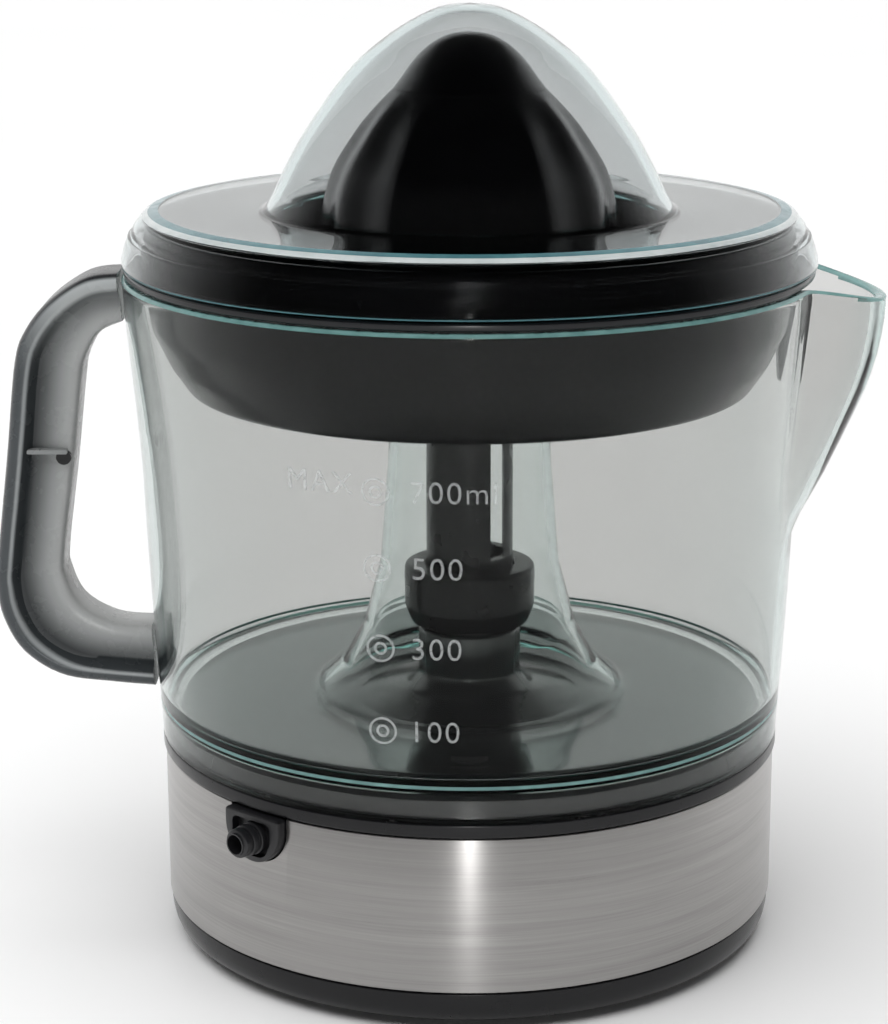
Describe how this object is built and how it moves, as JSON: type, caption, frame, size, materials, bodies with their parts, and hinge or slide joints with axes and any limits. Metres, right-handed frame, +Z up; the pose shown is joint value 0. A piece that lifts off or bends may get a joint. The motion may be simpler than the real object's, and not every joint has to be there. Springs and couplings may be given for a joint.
{
  "type": "citrus press juicer",
  "caption": "Press-to-start citrus juicer: round steel-banded motor base, clear graduated jug with handle and spout, black strainer, ribbed reamer and clear domed cover.",
  "frame": {"origin": "on the juicer's axis, in the plane of the flat underside of the base; the rubber feet reach 2 mm below it", "axes": "+Z up along the juicer's axis, +X towards the pouring spout, -X towards the handle, -Y towards the side with the graduations"},
  "size_m": [0.187, 0.1438, 0.1966],
  "materials": {
    "black_abs": "satin moulded",
    "black_gloss": "glossy moulded",
    "strainer_black": "semi-gloss moulded",
    "brushed_steel": "brushed around the band",
    "clear_plastic": "clear moulded plastic with a faint green edge",
    "clear_cover": "clear moulded plastic, slightly grey",
    "smoky_plastic": "smooth smoky grey moulding",
    "rubber": "matt",
    "zinc_steel": "zinc plated",
    "white_pom": "natural moulded",
    "bronze": "sintered",
    "laminated_core": "stacked laminations",
    "coil_wire": "enamelled copper"
  },
  "bodies": {
    "base": {"base_bottom": "black_abs", "steel_band": "brushed_steel", "base_top": "black_abs", "foot_1": "rubber", "foot_2": "rubber", "foot_3": "rubber", "foot_4": "rubber", "cord_gland": "black_abs", "gland_sleeve": "rubber", "gear_plate": "white_pom", "output_bush": "bronze", "tower_bush": "bronze", "tower_seal": "rubber", "idler_axle": "zinc_steel", "motor_stator": "laminated_core", "motor_coil": "coil_wire", "motor_strap": "zinc_steel", "rotor_bush_lower": "bronze", "rotor_bush_upper": "bronze", "switch_body": "black_abs", "base_screw_1": "zinc_steel", "base_screw_2": "zinc_steel", "base_screw_3": "zinc_steel", "gear_plate_screw_1": "zinc_steel", "gear_plate_screw_2": "zinc_steel", "gear_plate_screw_3": "zinc_steel", "motor_screw_1": "zinc_steel", "motor_screw_2": "zinc_steel"},
    "press": {"press_slider": "white_pom", "return_spring": "zinc_steel"},
    "switch_button": {"switch_button": "white_pom"},
    "output": {"output_shaft": "zinc_steel", "output_gear": "white_pom", "drive_coupling": "black_abs"},
    "stem": {"drive_stem": "black_abs"},
    "reamer": {"cone_large": "black_gloss", "cone_small": "black_gloss"},
    "idler": {"idler_gear": "white_pom"},
    "rotor": {"motor_rotor": "laminated_core", "rotor_shaft": "zinc_steel", "rotor_pinion": "bronze"},
    "jug": {"jug": "clear_plastic", "jug_handle": "smoky_plastic"},
    "strainer": {"strainer": "strainer_black", "sieve_plate": "strainer_black"},
    "cover": {"dust_cover": "clear_cover"}
  },
  "joints": [
    {"name": "press_slide", "type": "slide", "parent": "base", "child": "press", "axis": [0, 0, 1], "range_m": [-0.0025, 0], "stiffness_N_per_m": 2500, "springref_m": 0.003, "deforming": ["return_spring"]},
    {"name": "button_slide", "type": "slide", "parent": "base", "child": "switch_button", "axis": [0, 0, 1], "range_m": [-0.0025, 0], "stiffness_N_per_m": 30, "springref_m": 0.002},
    {"name": "output_spin", "type": "hinge", "parent": "press", "child": "output", "pos_m": [0, 0, 0.027], "axis": [0, 0, 1], "continuous": true},
    {"name": "idler_spin", "type": "hinge", "parent": "base", "child": "idler", "pos_m": [-0.01636, 0.013, 0.026], "axis": [0, 0, 1], "continuous": true},
    {"name": "rotor_spin", "type": "hinge", "parent": "base", "child": "rotor", "pos_m": [0, 0.026, 0.018], "axis": [0, 0, 1], "continuous": true},
    {"name": "stem_lift", "type": "slide", "parent": "output", "child": "stem", "axis": [0, 0, 1], "range_m": [0, 0.12]},
    {"name": "reamer_lift", "type": "slide", "parent": "stem", "child": "reamer", "axis": [0, 0, 1], "range_m": [0, 0.06]},
    {"name": "jug_lift", "type": "slide", "parent": "base", "child": "jug", "axis": [0, 0, 1], "range_m": [0, 0.12]},
    {"name": "strainer_lift", "type": "slide", "parent": "jug", "child": "strainer", "axis": [0, 0, 1], "range_m": [0, 0.06]},
    {"name": "cover_lift", "type": "slide", "parent": "strainer", "child": "cover", "axis": [0, 0, 1], "range_m": [0, 0.08]}
  ],
  "couplings": [
    {"joint": "button_slide", "follows": "press_slide", "ratio": 1},
    {"joint": "idler_spin", "follows": "output_spin", "ratio": -3.3333},
    {"joint": "rotor_spin", "follows": "output_spin", "ratio": 11.111},
    {"joint": "stem_lift", "follows": "jug_lift", "ratio": 1},
    {"joint": "reamer_lift", "follows": "strainer_lift", "ratio": 1}
  ]
}
